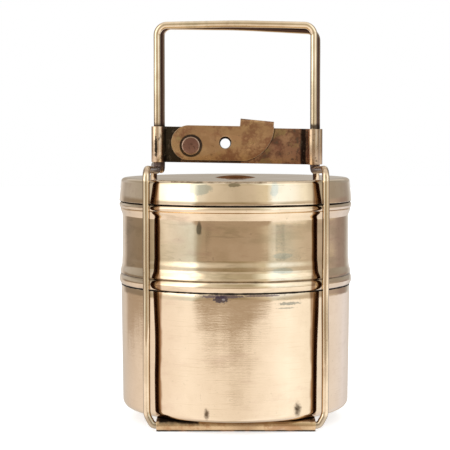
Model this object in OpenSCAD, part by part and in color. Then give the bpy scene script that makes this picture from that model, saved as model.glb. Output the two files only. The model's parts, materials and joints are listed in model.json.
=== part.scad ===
// Two-tier tiffin carrier in polished sheet brass: two stacking containers and a lid, held between
// two hinged wire bails that are locked together by a pair of rolled clasp plates and a lever.
// +X runs along the base knuckles, -Y is the side with the lever, +Z is up, all in millimetres.
// The origin is on the containers' axis, at the height the base knuckles stand on.

/* [Containers] */
// Outer radius of the lower container at its rim
lower_top_r = 63.6; // [63.2:0.1:63.9]
// Outer radius of the lower container just above its rounded bottom edge
lower_bottom_r = 62.8; // [61.5:0.1:63.4]
// Outer radius of the rounded bottom edge
bottom_edge_r = 4.2; // [2:0.1:8]
// Outer radius of the upper container between its beads
upper_wall_r = 62.9; // [62.7:0.1:63.2]
// Outer radius of the beads at the foot and the rim of the upper container
bead_r = 64.6; // [64.2:0.1:64.7]
// Thickness of the container sheet
sheet_t = 1; // [0.8:0.05:1.2]
// Height of the lower container's rim
lower_rim_z = 75; // [72:0.5:78]
// Depth that the upper container's pan reaches into the lower container
pan_depth = 6.3; // [3:0.1:10]

/* [Lid] */
// Outer radius of the skirt at its lower edge
lid_r = 64.6; // [64.4:0.1:64.8]
// Height of the flat top
lid_top_z = 133.6; // [133:0.1:134]
// Height of the skirt's lower edge
lid_skirt_z = 121; // [120.9:0.1:124]
// Radius of the low boss in the middle of the top
boss_r = 11.3; // [8:0.1:16]
// Height of the boss
boss_h = 1.2; // [0.5:0.1:1.6]

/* [Bails] */
// Diameter of the bail wire
wire_d = 3.9; // [3.5:0.05:4]
// Distance of each upright from the middle, side to side
upright_x = 47.4; // [47.2:0.1:48.5]
// Distance of each bail from the middle, front to back
hinge_y = 47.6; // [47.4:0.1:49]
// Height of the shoulder where an upright turns in over the lid
shoulder_z = 139.7; // [139:0.1:141]
// Height of the inner end of the arm that crosses the lid
arm_end_z = 137.5; // [137.2:0.1:138]
// Distance of each handle leg from the middle, side to side
leg_x = 43.2; // [42.5:0.1:43.6]
// Height of the handle's top bar at its middle
handle_z = 218.4; // [205:0.1:230]
// Sideways offset of the rear bail's handle against the front one
rear_shift = 2; // [0:0.1:2.2]
// How much lower the rear bail's right-hand corner hangs
rear_drop = 2.8; // [0:0.1:3]

/* [Base] */
// Half the length of each rolled knuckle
knuckle_half = 42.3; // [30:0.1:42.3]
// Thickness of the base and clasp sheet
plate_t = 1.3; // [1:0.05:1.35]

/* [Clasp] */
// Height of the clasp plates
clasp_h = 19.2; // [17:0.1:20]
// Height of the clasp plates' middle
clasp_z = 151; // [150.9:0.1:152]
// Drop of the clasp from its left end to its right end
clasp_drop = 1.5; // [0:0.1:1.8]
// Radius of the padlock hole in the clasp plates
shackle_r = 2.75; // [2:0.05:3]
// Radius of the padlock hole in the lever
lever_hole_r = 3.4; // [3.4:0.05:4]

/* [Lever] */
// Distance of the rivet to the left of the middle
rivet_x = 24.7; // [22:0.1:26]
// Height of the rivet
rivet_z = 151.2; // [150:0.1:152]
// Radius of the rivet's shank
rivet_r = 2.4; // [2:0.05:2.6]
// Radius of the rivet's head
rivet_head_r = 5.05; // [4:0.05:5.4]
// Reach of the catch over both clasp plates, from the lever's front face
catch_reach = 6; // [5:0.1:6.2]

/* [Hidden] */
$fn = 96;
eps = 0.01;

brass_pale = [0.86, 0.76, 0.56];
brass_wire = [0.74, 0.64, 0.44];
bronze = [0.56, 0.42, 0.27];
copper = [0.55, 0.36, 0.28];

// Fits: the wire turns in the knuckles, and the lever turns on its rivet
wire_r = wire_d / 2;
run_gap = 0.06;
bore_r = wire_r + run_gap;
knuckle_r = bore_r + plate_t;
face_gap = 0.25;
leaf_gap = 0.15;
washer_t = 0.5;
washer_gap = 0.1;
stack_gap = 0.3;
seam_w = 0.8;

// Bails
hinge_z = knuckle_r;
leg_y = face_gap + plate_t + bore_r;
wire_end_gap = 0.3;
collar_t = 0.03;
collar_w = 0.6;
foot_turn = 60;
foot_bend_r = 2.6;
foot_start_x = knuckle_half + 0.4;
foot_corner_x = foot_start_x + foot_bend_r * tan(foot_turn / 2);
foot_corner_z = hinge_z + (upright_x - foot_corner_x) * tan(foot_turn);
upright_bend_r = 9;
shoulder_bend_r = 6;
leg_bend_r = 3;
corner_bend_r = 5.5;
bow = 0.9;
bow_bend_r = 400;

// Clasp
sleeve_h = 19.7;
sleeve_rise = 0.3;
shackle_x = -5.65;
shackle_z = 152.4;
lever_hole_z = 152.9;

// Lever, as an outline in the plane of the clasp
lever_t = 1.3;
lever_back_y = -(face_gap + plate_t + leaf_gap);
lever_end_r = 9.6;
lever_end_x = -26;
lever_end_z = 152.9;
lever_tilt = 1;
nose_r = 19.6;
nose_x = 1.6;
tab_x = 2.6;
tab_w = 18.6;
tab_top_z = 166.7;
tab_slope = 4.6;
fold_r = 1.7;
lever_fit = 0.05;
rivet_head_h = 1.7;
washer_r = 5.8;
washer_bore_r = 2.9;
washer_x = 0.42;
washer_z = 0.3;

// Containers
plate_top_z = 2 * knuckle_r;
lower_z = plate_top_z + 0.08;
foot_z = lower_rim_z + stack_gap;
inner_r = upper_wall_r - sheet_t;
foot_bead_mid_z = foot_z + 2.9;
foot_bead_top_z = foot_z + 5.7;
flare_top_z = foot_z + 13;
cove_z = 113;
rim_bead_mid_z = 118.7;
rim_bead_top_z = lid_skirt_z - 0.4;
bead_bulge = 1;
neck_taper = 1;
neck_top_z = lid_top_z - sheet_t - 0.8;
pan_z = foot_z - pan_depth;
pan_top_z = foot_z + 5;
pan_edge_r = 3;
lid_t = 0.9;
lid_taper = 1.1;
lid_edge_r = 2.2;
arc_n = 8;

// Points along an arc about c, from angle a0 to a1
function arc(c, r, a0, a1, n = arc_n) =
    [for (i = [0 : n]) let (a = a0 + (a1 - a0) * i / n) [c[0] + r * cos(a), c[1] + r * sin(a)]];

// Points along a smooth step in radius, from r0 at height z0 to r1 at height z1
function ease(r0, z0, r1, z1, n = arc_n) =
    [for (i = [0 : n]) let (k = i / n) [r0 + (r1 - r0) * (1 - cos(180 * k)) / 2, z0 + (z1 - z0) * k]];

// Points along a bulge that stands h beyond radius r, from height z0 to z1
function bulge(r, z0, z1, h, n = arc_n) =
    [for (i = [0 : n]) let (k = i / n) [r + h * sin(180 * k), z0 + (z1 - z0) * k]];

function reversed(p) = [for (i = [len(p) - 1 : -1 : 0]) p[i]];
function unit(v) = v / norm(v);

// Corner i of a path, seen as a bend of radius r: its angle, tangent length, ends, centre and axes
function turn(p, i) = let (
    u = unit(p[i] - p[i - 1]),
    v = unit(p[i + 1] - p[i])
) acos(max(-1, min(1, u * v)));
function tangent(p, r, i) = i == 0 || i == len(p) - 1 ? 0 : r[i] * tan(turn(p, i) / 2);
function leave(p, r, i) = i == 0 ? p[0] : p[i] + unit(p[i + 1] - p[i]) * tangent(p, r, i);
function arrive(p, r, i) = p[i] - unit(p[i] - p[i - 1]) * tangent(p, r, i);

// A round rod from point a to point b
module rod(a, b, r) {
    d = b - a;
    length = norm(d);
    translate(a)
        rotate([0, acos(d[2] / length), atan2(d[1], d[0])])
            cylinder(r = r, h = length, $fn = 48);
}

// The bend at corner i of path p
module bend(p, radii, i, r) {
    angle = turn(p, i);
    u = unit(p[i] - p[i - 1]);
    v = unit(p[i + 1] - p[i]);
    axis = unit(cross(u, v));
    out = cross(u, axis);
    start = arrive(p, radii, i);
    centre = start - out * radii[i];
    multmatrix([[out[0], u[0], axis[0], centre[0]],
                [out[1], u[1], axis[1], centre[1]],
                [out[2], u[2], axis[2], centre[2]],
                [0, 0, 0, 1]])
        rotate_extrude(angle = angle, $fn = 96)
            translate([radii[i], 0])
                circle(r = r, $fn = 48);
}

// A wire along path p, bent to the given radius at each corner, with a hair-thin collar at each joint
module bent_wire(p, radii, r) {
    for (i = [0 : len(p) - 2])
        rod(leave(p, radii, i), i == len(p) - 2 ? p[i + 1] : arrive(p, radii, i + 1), r);
    for (i = [1 : len(p) - 2]) {
        before = unit(p[i] - p[i - 1]) * collar_w / 2;
        after = unit(p[i + 1] - p[i]) * collar_w / 2;
        bend(p, radii, i, r);
        rod(arrive(p, radii, i) - before, arrive(p, radii, i) + before, r + collar_t);
        rod(leave(p, radii, i) - after, leave(p, radii, i) + after, r + collar_t);
    }
}

// Left half of a bail from its end in the knuckle to the handle's corner, mirrored for the right
function bail_half(side, s, shift, corner_z) = [
    [s * wire_end_gap, side * hinge_y, hinge_z],
    [s * foot_corner_x, side * hinge_y, hinge_z],
    [s * upright_x, side * hinge_y, foot_corner_z],
    [s * upright_x, side * hinge_y, shoulder_z],
    [s * leg_x + shift, side * leg_y, arm_end_z],
    [s * leg_x + shift, side * leg_y, corner_z]
];
half_radii = [0, foot_bend_r, upright_bend_r, shoulder_bend_r, leg_bend_r, corner_bend_r];

module bail_wire(side, shift, drop) {
    left = bail_half(side, -1, shift, handle_z - bow);
    right = bail_half(side, 1, shift, handle_z - bow - drop);
    top = [[shift, side * leg_y, handle_z - drop / 2]];
    path = concat(left, top, reversed(right));
    radii = concat(half_radii, [bow_bend_r], reversed(half_radii));
    bent_wire(path, radii, wire_r);
}

// A sheet edge rolled round a wire that runs along X, with its seam towards the middle of the base
module knuckle(side) {
    translate([0, side * hinge_y, hinge_z])
        difference() {
            rotate([0, 90, 0])
                cylinder(r = knuckle_r, h = 2 * knuckle_half, center = true);
            rotate([0, 90, 0])
                cylinder(r = bore_r, h = 2 * knuckle_half + 1, center = true);
            translate([0, -side * knuckle_r, 0])
                cube([2 * knuckle_half + 1, knuckle_r, seam_w], center = true);
        }
}

module base_plate() {
    color(brass_pale) {
        difference() {
            translate([-knuckle_half, -hinge_y, plate_top_z - plate_t])
                cube([2 * knuckle_half, 2 * hinge_y, plate_t]);
            for (side = [-1, 1])
                translate([0, side * hinge_y, hinge_z])
                    rotate([0, 90, 0])
                        cylinder(r = bore_r, h = 2 * knuckle_half + 1, center = true);
        }
        for (side = [-1, 1])
            knuckle(side);
    }
}

module front_bail_wire() {
    color(brass_wire)
        bail_wire(-1, 0, 0);
}

module rear_bail_wire() {
    color(brass_wire)
        bail_wire(1, rear_shift, rear_drop);
}

// One clasp plate: a leaf next to the middle plane, with each end rolled outwards round a handle leg
module clasp_plate(side, shift) {
    half_drop = clasp_drop / 2;
    inner = side * face_gap;
    difference() {
        union() {
            translate([0, side > 0 ? inner + plate_t : inner, 0])
                rotate([90, 0, 0])
                    linear_extrude(plate_t)
                        polygon([[shift - leg_x, clasp_z + half_drop - clasp_h / 2],
                                 [shift + leg_x, clasp_z - half_drop - clasp_h / 2],
                                 [shift + leg_x, clasp_z - half_drop + clasp_h / 2],
                                 [shift - leg_x, clasp_z + half_drop + clasp_h / 2]]);
            for (s = [-1, 1])
                translate([shift + s * leg_x, side * leg_y, sleeve_mid_z(s)])
                    cylinder(r = knuckle_r, h = sleeve_h, center = true);
        }
        for (s = [-1, 1])
            translate([shift + s * leg_x, side * leg_y, sleeve_mid_z(s)])
                cylinder(r = bore_r, h = sleeve_h + 4, center = true);
        for (s = [-1, 1])
            translate([shift + s * (leg_x - knuckle_r), side * leg_y, sleeve_mid_z(s)])
                cube([knuckle_r, seam_w, sleeve_h + 4], center = true);
        translate([shackle_x, 0, shackle_z])
            rotate([90, 0, 0])
                cylinder(r = shackle_r, h = 10, center = true);
        if (side < 0)
            translate([-rivet_x, 0, rivet_z])
                rotate([90, 0, 0])
                    cylinder(r = rivet_r, h = 10, center = true);
    }
}
function sleeve_mid_z(s) = clasp_z + sleeve_rise - s * (clasp_drop / 2 + 0.1);

module front_clasp_plate() {
    color(bronze)
        clasp_plate(-1, 0);
}

module rear_clasp_plate() {
    color(bronze)
        clasp_plate(1, rear_shift);
}

module lever_outline() {
    translate([lever_end_x, lever_end_z])
        circle(r = lever_end_r);
    translate([lever_end_x, lever_end_z - lever_end_r])
        square([nose_x - lever_end_x + eps, 2 * lever_end_r]);
    intersection() {
        translate([nose_x, lever_end_z + lever_end_r])
            circle(r = nose_r);
        translate([nose_x, lever_end_z + lever_end_r - nose_r])
            square([nose_r, nose_r]);
    }
}

// The catch: a tab that stands up from the lever and folds back over the top of both clasp plates
module catch_tab() {
    rise = tab_top_z - lever_end_z - lever_end_r + 4;
    translate([tab_x, lever_back_y - lever_t, tab_top_z])
        rotate([0, tab_slope, 0])
            rotate([90, 0, 90])
                linear_extrude(tab_w) {
                    translate([0, -rise])
                        square([lever_t, rise - fold_r]);
                    translate([fold_r, -lever_t])
                        square([catch_reach - fold_r, lever_t]);
                    intersection() {
                        difference() {
                            translate([fold_r, -fold_r])
                                circle(r = fold_r);
                            translate([fold_r, -fold_r])
                                circle(r = fold_r - lever_t);
                        }
                        translate([0, -fold_r])
                            square([fold_r, fold_r]);
                    }
                }
}

module lock_lever() {
    color(bronze)
        difference() {
            translate([-rivet_x, 0, rivet_z])
                rotate([0, lever_tilt, 0])
                    translate([rivet_x, 0, -rivet_z]) {
                        translate([0, lever_back_y, 0])
                            rotate([90, 0, 0])
                                linear_extrude(lever_t)
                                    lever_outline();
                        catch_tab();
                    }
            translate([-rivet_x, 0, rivet_z])
                rotate([90, 0, 0])
                    cylinder(r = rivet_r + lever_fit, h = 10, center = true);
            translate([shackle_x, 0, lever_hole_z])
                rotate([90, 0, 0])
                    cylinder(r = lever_hole_r, h = 10, center = true);
        }
}

// Rivet: a shank from the back of the front clasp plate, with a low head cut from a large sphere
module lever_rivet() {
    head_y = lever_back_y - lever_t - washer_gap - washer_t;
    dome_r = (rivet_head_r * rivet_head_r + rivet_head_h * rivet_head_h) / (2 * rivet_head_h);
    color(copper)
        translate([-rivet_x, 0, rivet_z])
            rotate([90, 0, 0])
                rotate_extrude()
                    polygon(concat(
                        [[0, face_gap], [rivet_r, face_gap], [rivet_r, -head_y], [rivet_head_r, -head_y]],
                        [for (i = [0 : arc_n]) let (
                            x = rivet_head_r * cos(90 * i / arc_n),
                            top = sqrt(dome_r * dome_r - x * x) - dome_r + rivet_head_h
                        ) [x, -head_y + 0.35 + top * 0.75]]));
}

module rivet_washer() {
    color(copper * 0.6)
        translate([washer_x - rivet_x, lever_back_y - lever_t - washer_gap, rivet_z + washer_z])
            rotate([90, 0, 0])
                difference() {
                    cylinder(r = washer_r, h = washer_t);
                    translate([0, 0, -1])
                        cylinder(r = washer_bore_r, h = washer_t + 2);
                }
}

// Outside of the lower container, moved in by d
function lower_outline(d) = concat(
    [[0, lower_z + d]],
    arc([lower_bottom_r - bottom_edge_r, lower_z + bottom_edge_r], bottom_edge_r - d, -90, 0),
    [[lower_top_r - d, lower_rim_z]]
);

module lower_container() {
    color(brass_pale)
        rotate_extrude()
            polygon(concat(lower_outline(0), reversed(lower_outline(sheet_t))));
}

module upper_container_wall() {
    seat_r = bead_r - bead_bulge;
    color(brass_pale)
        rotate_extrude()
            polygon(concat(
                [[inner_r, foot_z]],
                bulge(seat_r, foot_z, foot_bead_top_z, bead_bulge),
                ease(seat_r + 0.5, foot_bead_top_z + 0.6, upper_wall_r, flare_top_z),
                ease(upper_wall_r, cove_z, seat_r + 0.4, rim_bead_mid_z - 1.8),
                bulge(seat_r, rim_bead_mid_z - 1.6, rim_bead_top_z, bead_bulge),
                [[upper_wall_r, rim_bead_top_z], [upper_wall_r - neck_taper, neck_top_z],
                 [inner_r - neck_taper, neck_top_z], [inner_r, rim_bead_top_z]]));
}

function pan_outline(d) = concat(
    [[0, pan_z + d]],
    arc([inner_r - pan_edge_r, pan_z + pan_edge_r], pan_edge_r - d, -90, 0),
    [[inner_r - d, pan_top_z]]
);

module upper_container_pan() {
    color(brass_pale)
        rotate_extrude()
            polygon(concat(pan_outline(0), reversed(pan_outline(sheet_t))));
}

function lid_outline(d) = concat(
    [[0, lid_top_z - d]],
    arc([lid_r - lid_taper - lid_edge_r, lid_top_z - lid_edge_r], lid_edge_r - d, 90, 0),
    [[lid_r - d, lid_skirt_z]]
);

module lid() {
    color(brass_pale)
        rotate_extrude()
            polygon(concat(lid_outline(0), reversed(lid_outline(lid_t))));
}

module lid_boss() {
    dome_r = (boss_r * boss_r + boss_h * boss_h) / (2 * boss_h);
    color(brass_pale * 0.7)
        translate([0, 0, lid_top_z])
            rotate_extrude()
                polygon(concat(
                    [[0, 0]],
                    [for (i = [0 : arc_n]) let (x = boss_r * (1 - i / arc_n))
                        [x, sqrt(dome_r * dome_r - x * x) - dome_r + boss_h]]));
}

base_plate();
front_bail_wire();
rear_bail_wire();
front_clasp_plate();
rear_clasp_plate();
lock_lever();
lever_rivet();
rivet_washer();
lower_container();
upper_container_wall();
upper_container_pan();
lid();
lid_boss();
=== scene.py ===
import json
import math

import bmesh
import bpy
from mathutils import Matrix, Vector, noise


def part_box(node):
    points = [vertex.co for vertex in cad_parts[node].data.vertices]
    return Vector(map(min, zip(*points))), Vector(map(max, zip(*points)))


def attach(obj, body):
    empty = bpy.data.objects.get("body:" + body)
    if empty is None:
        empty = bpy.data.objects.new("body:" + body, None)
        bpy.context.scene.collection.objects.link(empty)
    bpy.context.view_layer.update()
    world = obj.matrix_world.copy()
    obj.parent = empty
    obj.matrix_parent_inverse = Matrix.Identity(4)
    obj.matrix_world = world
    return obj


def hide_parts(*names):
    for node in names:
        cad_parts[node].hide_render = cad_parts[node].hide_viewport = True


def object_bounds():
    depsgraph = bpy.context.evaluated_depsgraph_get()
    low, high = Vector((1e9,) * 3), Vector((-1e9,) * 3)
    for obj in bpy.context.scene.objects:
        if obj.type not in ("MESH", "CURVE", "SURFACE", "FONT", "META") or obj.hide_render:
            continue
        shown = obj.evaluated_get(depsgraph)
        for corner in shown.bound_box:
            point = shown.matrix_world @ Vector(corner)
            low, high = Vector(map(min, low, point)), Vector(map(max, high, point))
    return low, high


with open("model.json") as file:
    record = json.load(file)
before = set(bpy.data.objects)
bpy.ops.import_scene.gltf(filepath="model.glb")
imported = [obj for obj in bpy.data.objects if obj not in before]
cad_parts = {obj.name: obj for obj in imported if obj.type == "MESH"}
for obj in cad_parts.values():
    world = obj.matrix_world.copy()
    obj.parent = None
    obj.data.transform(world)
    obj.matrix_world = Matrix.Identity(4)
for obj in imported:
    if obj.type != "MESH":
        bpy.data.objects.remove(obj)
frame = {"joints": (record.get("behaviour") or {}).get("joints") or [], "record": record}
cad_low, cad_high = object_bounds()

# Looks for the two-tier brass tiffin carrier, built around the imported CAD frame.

# ---------------------------------------------------------------- sizes, from the frame

MM = 0.001
joints = {j["name"]: j for j in frame["joints"]}
mounts = {m["name"]: m for m in frame["record"]["mounts"]}

front_hinge = Vector(joints["front_bail_swing"]["pos_m"])
rear_hinge = Vector(joints["rear_bail_swing"]["pos_m"])
rivet_axis = Vector(joints["lever_swing"]["pos_m"])
front_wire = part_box("front_bail_wire")
lever_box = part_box("lock_lever")
lower_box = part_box("lower_container")
wall_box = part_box("upper_container_wall")
pan_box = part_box("upper_container_pan")
lid_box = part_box("lid")
boss_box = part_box("lid_boss")
base_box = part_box("base_plate")
rivet_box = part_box("lever_rivet")
washer_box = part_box("rivet_washer")
shackle = Vector(mounts["padlock_hole"]["pos_m"])
shackle_r = mounts["padlock_hole"]["dims"]["r_mm"] * MM
FRONT = -wall_box[1].y

# Wire, sheet and the rolls of sheet round the wire.
WIRE_R = 1.95 * MM
RUN_GAP = 0.06 * MM
SHEET_T = 1.0 * MM
PLATE_T = 1.3 * MM
BORE_R = WIRE_R + RUN_GAP
ROLL_R = BORE_R + PLATE_T
ROLL_MID = BORE_R + PLATE_T / 2

# The handle legs above the lid; the rear bail stands a little to the right and its right corner hangs lower.
LEG_X = 43.2 * MM
LEG_Y = abs(front_wire[1].y - WIRE_R)
REAR_SHIFT = 2.0 * MM
REAR_DROP = 2.8 * MM

# The rounding of a rim, and the longest straight stretch of a turned outline.
EDGE_LIP = 0.3 * MM
LONGEST_STRETCH = 4 * MM


# ---------------------------------------------------------------- mesh helpers

def new_object(name, bm, smooth_angle=35):
    """A mesh object from bm, shaded smooth apart from its sharp edges."""
    mesh = bpy.data.meshes.new(name)
    bmesh.ops.recalc_face_normals(bm, faces=bm.faces)
    bm.to_mesh(mesh)
    bm.free()
    for p in mesh.polygons:
        p.use_smooth = True
    mesh.set_sharp_from_angle(angle=math.radians(smooth_angle))
    obj = bpy.data.objects.new(name, mesh)
    bpy.context.scene.collection.objects.link(obj)
    return obj


def arc(cx, cy, r, a0, a1, n):
    """Points along an arc, angles in degrees."""
    angles = [math.radians(a0 + (a1 - a0) * i / n) for i in range(n + 1)]
    return [(cx + r * math.cos(a), cy + r * math.sin(a)) for a in angles]


def ease(r0, z0, r1, z1, n=14):
    """Points along a smooth step from (r0, z0) to (r1, z1)."""
    shares = [(1 - math.cos(math.pi * i / n)) / 2 for i in range(n + 1)]
    return [(r0 + (r1 - r0) * share, z0 + (z1 - z0) * i / n) for i, share in enumerate(shares)]


def bulge(r, z0, z1, h, n=14):
    """Points along a bead that stands h beyond radius r."""
    return [(r + h * math.sin(math.pi * i / n) ** 0.7, z0 + (z1 - z0) * i / n) for i in range(n + 1)]


def refine(points, step):
    """The same line with no stretch longer than step."""
    out = [points[0]]
    for a, b in zip(points, points[1:]):
        n = max(1, math.ceil(math.dist(a, b) / step))
        out += [(a[0] + (b[0] - a[0]) * i / n, a[1] + (b[1] - a[1]) * i / n) for i in range(1, n + 1)]
    return out


def skin(bm, one, two):
    """The faces between two rings, either of which may be a single point."""
    count = max(len(one), len(two))
    if count == 1:
        return
    for k in range(count):
        n = (k + 1) % count
        if len(one) == 1:
            bm.faces.new((one[0], two[k], two[n]))
        elif len(two) == 1:
            bm.faces.new((one[k], two[0], one[n]))
        else:
            bm.faces.new((one[k], two[k], two[n], one[n]))


def turned_ring(bm, r, z, segments, shape):
    """One ring of a solid of revolution, which is a single point on the axis."""
    if r < 0.001 * MM:
        return [bm.verts.new((0, 0, z))]
    ring = []
    for k in range(segments):
        a = 2 * math.pi * k / segments
        radius = r + (shape(a, r, z) if shape else 0.0)
        ring.append(bm.verts.new((radius * math.cos(a), radius * math.sin(a), z)))
    return ring


def lathe(name, profile, segments=288, shape=None):
    """A solid of revolution from a closed outline of (r, z); shape(angle, r, z) is added to its radius."""
    bm = bmesh.new()
    rings = [turned_ring(bm, r, z, segments, shape) for r, z in profile]
    for one, two in zip(rings, rings[1:] + rings[:1]):
        skin(bm, one, two)
    return new_object(name, bm)


def bend(corner, before, after, radius):
    """The arc that rounds a corner between two directions."""
    angle = before.angle(after)
    start = corner - before * (radius * math.tan(angle / 2))
    axis = before.cross(after).normalized()
    centre = start + axis.cross(before) * radius
    n = max(3, math.ceil(math.degrees(angle) / 6))
    turns = [Matrix.Rotation(angle * k / n, 3, axis) for k in range(n + 1)]
    return [centre + turn @ (start - centre) for turn in turns]


def rounded_path(points, radii, step=0.6 * MM):
    """Samples along a polyline whose corners are bent to the given radii."""
    rough = [points[0]]
    for i in range(1, len(points) - 1):
        before = (points[i] - points[i - 1]).normalized()
        after = (points[i + 1] - points[i]).normalized()
        rough += bend(points[i], before, after, radii[i])
    rough.append(points[-1])
    fine = [rough[0]]
    for a, b in zip(rough, rough[1:]):
        n = max(1, math.ceil((b - a).length / step))
        fine += [a.lerp(b, i / n) for i in range(1, n + 1)]
    return fine


def tube(name, path, radius, shape, sides=28):
    """A round wire swept along path with closed ends; shape(point, angle) is added to its radius."""
    bm = bmesh.new()
    along = (path[1] - path[0]).normalized()
    across = along.orthogonal().normalized()
    angles = [2 * math.pi * k / sides for k in range(sides)]
    rings = []
    for i, p in enumerate(path):
        ahead = (path[min(i + 1, len(path) - 1)] - path[max(i - 1, 0)]).normalized()
        across = along.rotation_difference(ahead) @ across
        across = (across - ahead * across.dot(ahead)).normalized()
        along = ahead
        up = along.cross(across)
        spokes = [(across * math.cos(a) + up * math.sin(a)) * (radius + shape(p, a)) for a in angles]
        rings.append([bm.verts.new(p + spoke) for spoke in spokes])
    for one, two in zip(rings, rings[1:]):
        skin(bm, one, two)
    bm.faces.new(rings[0])
    bm.faces.new(rings[-1])
    return new_object(name, bm, 60)


def sheet_outline(centreline, thickness):
    """The closed outline of a strip of sheet seen edge on, around its centreline."""
    left, right = [], []
    last = len(centreline) - 1
    for i, p in enumerate(centreline):
        q = centreline[min(i + 1, last)]
        o = centreline[max(i - 1, 0)]
        d = Vector((q[0] - o[0], q[1] - o[1])).normalized()
        n = Vector((-d.y, d.x)) * thickness / 2
        left.append((p[0] + n.x, p[1] + n.y))
        right.append((p[0] - n.x, p[1] - n.y))
    return left + right[::-1]


def prism(name, corners, place):
    """A prism over a 2D outline; place(u, v, end) gives the point of corner (u, v) at end 0 or 1."""
    bm = bmesh.new()
    rings = [[bm.verts.new(place(u, v, end)) for u, v in corners] for end in (0, 1)]
    skin(bm, rings[0], rings[1])
    bm.faces.new(rings[0])
    bm.faces.new(rings[1])
    return new_object(name, bm)


def rod_y(x, z, r, y0, y1, sides=72):
    """A round cutter along Y."""
    circle = arc(x, z, r, 0, 360 * (sides - 1) / sides, sides - 1)
    return prism("cutter", circle, lambda u, v, end: (u, y1 if end else y0, v))


def bake(obj):
    """Applies obj's modifiers."""
    bpy.context.view_layer.update()
    graph = bpy.context.evaluated_depsgraph_get()
    mesh = bpy.data.meshes.new_from_object(obj.evaluated_get(graph))
    obj.modifiers.clear()
    obj.data = mesh


def combine(obj, others, operation):
    """Adds or cuts the other objects, which are then removed."""
    for other in others:
        m = obj.modifiers.new("boolean", "BOOLEAN")
        m.operation = operation
        m.solver = "EXACT"
        m.object = other
        bake(obj)
        bpy.data.objects.remove(other)


def soften(obj, width):
    """Rounds the sharp edges of a sheet metal piece."""
    m = obj.modifiers.new("edge", "BEVEL")
    m.width = width
    m.segments = 3
    m.limit_method = "ANGLE"
    m.angle_limit = math.radians(40)
    m.use_clamp_overlap = True
    bake(obj)
    for p in obj.data.polygons:
        p.use_smooth = True
    obj.data.set_sharp_from_angle(angle=math.radians(50))


# ---------------------------------------------------------------- shader helpers

class Nodes:
    """Short words for building a shader tree."""

    def __init__(self, tree):
        self.tree = tree
        tree.nodes.clear()

    def add(self, kind, **settings):
        node = self.tree.nodes.new(kind)
        for key, value in settings.items():
            if key in node.inputs:
                node.inputs[key].default_value = value
            else:
                setattr(node, key, value)
        return node

    def link(self, out, socket):
        self.tree.links.new(out, socket)

    def put(self, value, socket):
        """A number, a colour or another node's output into socket."""
        if isinstance(value, (int, float)):
            socket.default_value = value
        elif isinstance(value, tuple):
            socket.default_value = (*value, 1.0) if len(socket.default_value) == 4 else value
        else:
            self.link(value, socket)

    def math(self, operation, a, b=0.0):
        node = self.add("ShaderNodeMath", operation=operation)
        self.put(a, node.inputs[0])
        self.put(b, node.inputs[1])
        return node.outputs[0]

    def vector(self, operation, a, b=(0.0, 0.0, 0.0)):
        node = self.add("ShaderNodeVectorMath", operation=operation)
        self.put(a, node.inputs[0])
        self.put(b, node.inputs[1])
        return node.outputs["Value" if operation in ("LENGTH", "DOT_PRODUCT") else "Vector"]

    def span(self, value, low, high, to_low=0.0, to_high=1.0):
        """value moved smoothly from low..high to to_low..to_high, held at the ends."""
        node = self.add("ShaderNodeMapRange", interpolation_type="SMOOTHSTEP")
        self.link(value, node.inputs["Value"])
        for key, number in (("From Min", low), ("From Max", high), ("To Min", to_low), ("To Max", to_high)):
            node.inputs[key].default_value = number
        return node.outputs[0]

    def mix(self, factor, a, b):
        node = self.add("ShaderNodeMix", data_type="RGBA")
        self.put(factor, node.inputs["Factor"])
        self.put(a, node.inputs[6])
        self.put(b, node.inputs[7])
        return node.outputs[2]

    def noise(self, vector, scale, detail=3.0, rough=0.55):
        node = self.add("ShaderNodeTexNoise", Scale=scale, Detail=detail, Roughness=rough)
        self.link(vector, node.inputs["Vector"])
        return node.outputs["Fac"]

    def loose(self, vector, scale, detail, rough, reach):
        """Noise between plus and minus half of reach."""
        level = self.noise(vector, scale, detail, rough)
        return self.math("MULTIPLY", self.math("SUBTRACT", level, 0.5), reach)

    def split(self, vector):
        node = self.add("ShaderNodeSeparateXYZ")
        self.link(vector, node.inputs[0])
        return node.outputs

    def join(self, x, y, z):
        node = self.add("ShaderNodeCombineXYZ")
        for value, socket in zip((x, y, z), node.inputs):
            self.put(value, socket)
        return node.outputs[0]

    def ramp(self, value, stops):
        """A colour ramp with (position, colour) stops."""
        node = self.add("ShaderNodeValToRGB")
        self.link(value, node.inputs[0])
        points = node.color_ramp.elements
        while len(points) < len(stops):
            points.new(0.5)
        for point, (position, colour) in zip(points, stops):
            point.position = position
            point.color = (*colour, 1.0)
        return node.outputs[0]


# Each of these makes a mask: a function of the tree, the place and the object's own normal, 0 to 1.

def band(z, half, soft=0.25 * MM, ragged=0.3 * MM):
    """A darkened ring at height z, used as painted shade along seams, gaps and the edges where parts meet.
    """
    def mask(n, place, normal):
        off = n.math("ABSOLUTE", n.math("SUBTRACT", n.split(place)[2], z))
        return n.span(n.math("ADD", off, n.loose(place, 160.0, 3.0, 0.55, ragged)), half + soft, half)
    return mask


def spot(centre, size, ragged=1.2, scale=500.0, soft=0.35):
    """A ragged blot round centre; size is its reach from there along X, Y and Z."""
    def mask(n, place, normal):
        off = n.vector("SUBTRACT", place, centre)
        far = n.vector("LENGTH", n.vector("MULTIPLY", off, tuple(1 / s for s in size)))
        edge = n.math("ADD", far, n.loose(place, scale, 4.0, 0.6, ragged))
        return n.span(edge, 0.92 + soft / 2, 0.92 - soft / 2)
    return mask


def stain(x, z, wide, tall, ragged, scale, soft=0.35):
    """A spot on the front of the walls, its place and half sizes in millimetres."""
    return spot((x * MM, FRONT, z * MM), (wide * MM, 30 * MM, tall * MM), ragged, scale, soft)


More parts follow.
